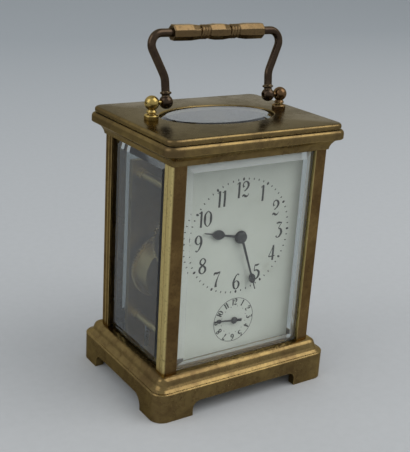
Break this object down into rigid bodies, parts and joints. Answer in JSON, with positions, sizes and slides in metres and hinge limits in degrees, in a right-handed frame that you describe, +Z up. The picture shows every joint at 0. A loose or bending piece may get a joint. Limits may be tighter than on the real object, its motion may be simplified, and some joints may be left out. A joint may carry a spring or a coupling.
{
  "type": "carriage clock",
  "caption": "Brass carriage clock with bevelled glass panels, a folding carrying handle, an hour dial, an alarm dial, a spring-driven movement and a bell in the base.",
  "frame": {"origin": "on the surface the clock stands on, under the middle of the case", "axes": "+X to the right seen from the front, +Y from the dial to the rear door, +Z up"},
  "size_m": [0.0856, 0.0676, 0.1429],
  "materials": {
    "case_brass": "worn lacquered brass, bright on the edges",
    "handle_bronze": "dull brown brass",
    "panel_glass": "clear bevelled glass",
    "dial_enamel": "pale grey-green satin",
    "hand_steel": "black, slightly glossy",
    "movement_brass": "satin brass",
    "steel": "polished steel",
    "spring_steel": "blued steel",
    "bell_metal": "turned bell metal"
  },
  "bodies": {
    "case": {"base_plinth": "case_brass", "base_floor": "movement_brass", "corner_pillars": "case_brass", "base_screws": "steel", "cornice": "case_brass", "top_glass": "panel_glass", "top_glass_retainer": "movement_brass", "retainer_screws": "steel", "front_glass": "panel_glass", "side_glasses": "panel_glass", "door_hinge_pins": "steel", "handle_posts": "handle_bronze", "handle_pivot_screws": "handle_bronze", "dial_plate": "dial_enamel", "front_plate": "movement_brass", "back_plate": "movement_brass", "movement_pillars": "movement_brass", "plate_screws": "steel", "seat_screws": "steel", "click_springs": "steel", "platform_plate": "movement_brass", "escape_cock": "movement_brass", "balance_spring": "spring_steel", "balance_cock": "movement_brass", "platform_screws": "steel", "bell": "bell_metal", "bell_screw": "steel"},
    "handle": {"handle": "handle_bronze"},
    "rear_door": {"rear_door_frame": "case_brass", "rear_door_glass": "panel_glass", "door_knob": "case_brass"},
    "minute_hand": {"setting_arbor": "steel", "cannon_pinion": "movement_brass", "minute_hand": "hand_steel"},
    "minute_wheel": {"minute_wheel": "movement_brass"},
    "hour_hand": {"hour_wheel": "movement_brass", "hour_hand": "hand_steel"},
    "alarm_idler": {"alarm_idler": "movement_brass"},
    "alarm_wheel": {"alarm_wheel": "movement_brass"},
    "alarm_hand": {"alarm_setting_arbor": "steel", "alarm_hand": "hand_steel"},
    "contrate_wheel": {"contrate_wheel": "movement_brass"},
    "third_wheel": {"third_wheel": "movement_brass"},
    "centre_wheel": {"centre_wheel": "movement_brass"},
    "intermediate_wheel": {"intermediate_wheel": "movement_brass"},
    "going_barrel": {"going_barrel": "movement_brass", "barrel_cover": "movement_brass", "mainspring": "spring_steel"},
    "escape_wheel": {"escape_wheel": "steel"},
    "pallet_lever": {"pallet_lever": "steel"},
    "balance": {"balance_wheel": "movement_brass"},
    "regulator": {"regulator_index": "steel"},
    "winding_arbor": {"barrel_arbor": "steel", "ratchet_wheel": "steel"},
    "click": {"click": "steel"},
    "alarm_barrel": {"alarm_barrel": "movement_brass"},
    "alarm_escape_wheel": {"alarm_escape_wheel": "movement_brass"},
    "alarm_hammer": {"alarm_hammer": "steel"},
    "alarm_winding_arbor": {"alarm_barrel_arbor": "steel"},
    "alarm_click": {"alarm_click": "steel"}
  },
  "joints": [
    {"name": "handle_pivot", "type": "hinge", "parent": "case", "child": "handle", "pos_m": [0, 0, 0.1154], "axis": [1, 0, 0], "range_deg": [-88, 104]},
    {"name": "door_hinge", "type": "hinge", "parent": "case", "child": "rear_door", "pos_m": [-0.0276, 0.0245, 0.0577], "axis": [0, 0, 1], "range_deg": [0, 100]},
    {"name": "minute_hand_spin", "type": "hinge", "parent": "case", "child": "minute_hand", "pos_m": [0, -0.015, 0.0656], "axis": [0, 1, 0], "continuous": true},
    {"name": "minute_wheel_spin", "type": "hinge", "parent": "case", "child": "minute_wheel", "pos_m": [0.00569, -0.015, 0.07129], "axis": [0, 1, 0], "continuous": true},
    {"name": "hour_hand_spin", "type": "hinge", "parent": "case", "child": "hour_hand", "pos_m": [0, -0.016, 0.0656], "axis": [0, 1, 0], "continuous": true},
    {"name": "alarm_idler_spin", "type": "hinge", "parent": "case", "child": "alarm_idler", "pos_m": [0, -0.016, 0.0479], "axis": [0, 1, 0], "continuous": true},
    {"name": "alarm_wheel_spin", "type": "hinge", "parent": "case", "child": "alarm_wheel", "pos_m": [0, -0.016, 0.0302], "axis": [0, 1, 0], "continuous": true},
    {"name": "alarm_hand_spin", "type": "hinge", "parent": "case", "child": "alarm_hand", "pos_m": [0, 0, 0.0302], "axis": [0, 1, 0], "continuous": true},
    {"name": "contrate_wheel_spin", "type": "hinge", "parent": "case", "child": "contrate_wheel", "pos_m": [-0.00803, 0.005, 0.08082], "axis": [0, 1, 0], "continuous": true},
    {"name": "third_wheel_spin", "type": "hinge", "parent": "case", "child": "third_wheel", "pos_m": [0.00189, 0.002, 0.07907], "axis": [0, 1, 0], "continuous": true},
    {"name": "centre_wheel_spin", "type": "hinge", "parent": "case", "child": "centre_wheel", "pos_m": [0, -0.003, 0.0656], "axis": [0, 1, 0], "continuous": true},
    {"name": "intermediate_wheel_spin", "type": "hinge", "parent": "case", "child": "intermediate_wheel", "pos_m": [-0.01299, 0, 0.06009], "axis": [0, 1, 0], "continuous": true},
    {"name": "going_barrel_spin", "type": "hinge", "parent": "case", "child": "going_barrel", "pos_m": [-0.0145, 0.005, 0.045], "axis": [0, 1, 0], "continuous": true},
    {"name": "escape_wheel_spin", "type": "hinge", "parent": "case", "child": "escape_wheel", "pos_m": [-0.00803, 0.00499, 0.0932], "axis": [0, 0, 1], "continuous": true},
    {"name": "pallet_lever_pivot", "type": "hinge", "parent": "case", "child": "pallet_lever", "pos_m": [-0.00343, 0.00304, 0.0932], "axis": [0, 0, 1], "range_deg": [-5, 5]},
    {"name": "balance_swing", "type": "hinge", "parent": "case", "child": "balance", "pos_m": [0.0042, -0.0002, 0.0953], "axis": [0, 0, 1], "range_deg": [-150, 150], "stiffness_Nm_per_rad": 0.0000026},
    {"name": "regulator_pivot", "type": "hinge", "parent": "case", "child": "regulator", "pos_m": [0.0042, -0.0002, 0.099], "axis": [0, 0, 1], "range_deg": [-20, 20]},
    {"name": "winding_arbor_spin", "type": "hinge", "parent": "case", "child": "winding_arbor", "pos_m": [-0.0145, 0.016, 0.045], "axis": [0, 1, 0], "continuous": true},
    {"name": "click_pivot", "type": "hinge", "parent": "case", "child": "click", "pos_m": [-0.0088, 0.016, 0.052], "axis": [0, -1, 0], "range_deg": [0, 10], "stiffness_Nm_per_rad": 0.001, "springref_deg": -5.73},
    {"name": "alarm_barrel_spin", "type": "hinge", "parent": "case", "child": "alarm_barrel", "pos_m": [0.0155, 0.005, 0.036], "axis": [0, 1, 0], "continuous": true},
    {"name": "alarm_escape_wheel_spin", "type": "hinge", "parent": "case", "child": "alarm_escape_wheel", "pos_m": [0.00827, 0, 0.02877], "axis": [0, 1, 0], "continuous": true},
    {"name": "alarm_hammer_pivot", "type": "hinge", "parent": "case", "child": "alarm_hammer", "pos_m": [0.016, 0, 0.024], "axis": [0, 1, 0], "range_deg": [-5, 6.5]},
    {"name": "alarm_winding_arbor_spin", "type": "hinge", "parent": "case", "child": "alarm_winding_arbor", "pos_m": [0.0155, 0.016, 0.036], "axis": [0, 1, 0], "continuous": true},
    {"name": "alarm_click_pivot", "type": "hinge", "parent": "case", "child": "alarm_click", "pos_m": [0.0112, 0.016, 0.0416], "axis": [0, 1, 0], "range_deg": [0, 10], "stiffness_Nm_per_rad": 0.001, "springref_deg": -5.73}
  ],
  "couplings": [
    {"joint": "minute_wheel_spin", "follows": "minute_hand_spin", "ratio": -0.33333},
    {"joint": "hour_hand_spin", "follows": "minute_hand_spin", "ratio": 0.083333},
    {"joint": "alarm_idler_spin", "follows": "minute_hand_spin", "ratio": -0.047619},
    {"joint": "alarm_wheel_spin", "follows": "minute_hand_spin", "ratio": 0.083333},
    {"joint": "third_wheel_spin", "follows": "contrate_wheel_spin", "ratio": -0.125},
    {"joint": "centre_wheel_spin", "follows": "contrate_wheel_spin", "ratio": 0.016667},
    {"joint": "intermediate_wheel_spin", "follows": "contrate_wheel_spin", "ratio": -0.0027778},
    {"joint": "going_barrel_spin", "follows": "contrate_wheel_spin", "ratio": 0.0003858},
    {"joint": "escape_wheel_spin", "follows": "contrate_wheel_spin", "ratio": -8},
    {"joint": "alarm_escape_wheel_spin", "follows": "alarm_barrel_spin", "ratio": -6.75}
  ]
}
